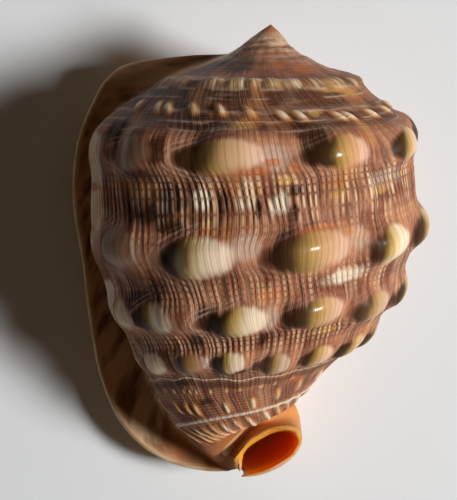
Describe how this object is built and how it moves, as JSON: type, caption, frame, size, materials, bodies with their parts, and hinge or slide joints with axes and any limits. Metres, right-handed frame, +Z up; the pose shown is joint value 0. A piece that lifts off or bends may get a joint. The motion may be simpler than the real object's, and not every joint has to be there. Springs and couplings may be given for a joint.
{
  "type": "helmet shell",
  "caption": "Whole helmet shell lying on its mouth, with a low spire, rows of blunt knobs, a thick turned-up lip, a narrow toothed mouth and an upturned canal.",
  "frame": {"origin": "bottom centre of the bounding box, on the surface that the mouth side rests on", "axes": "+Z up through the knobbed back, +Y towards the apex of the spire, +X to the side away from the lip"},
  "size_m": [0.1216, 0.1525, 0.0936],
  "materials": {
    "shell_brown": "satin, glossy on the knobs"
  },
  "bodies": {
    "root": {"shell": "shell_brown"}
  },
  "joints": []
}
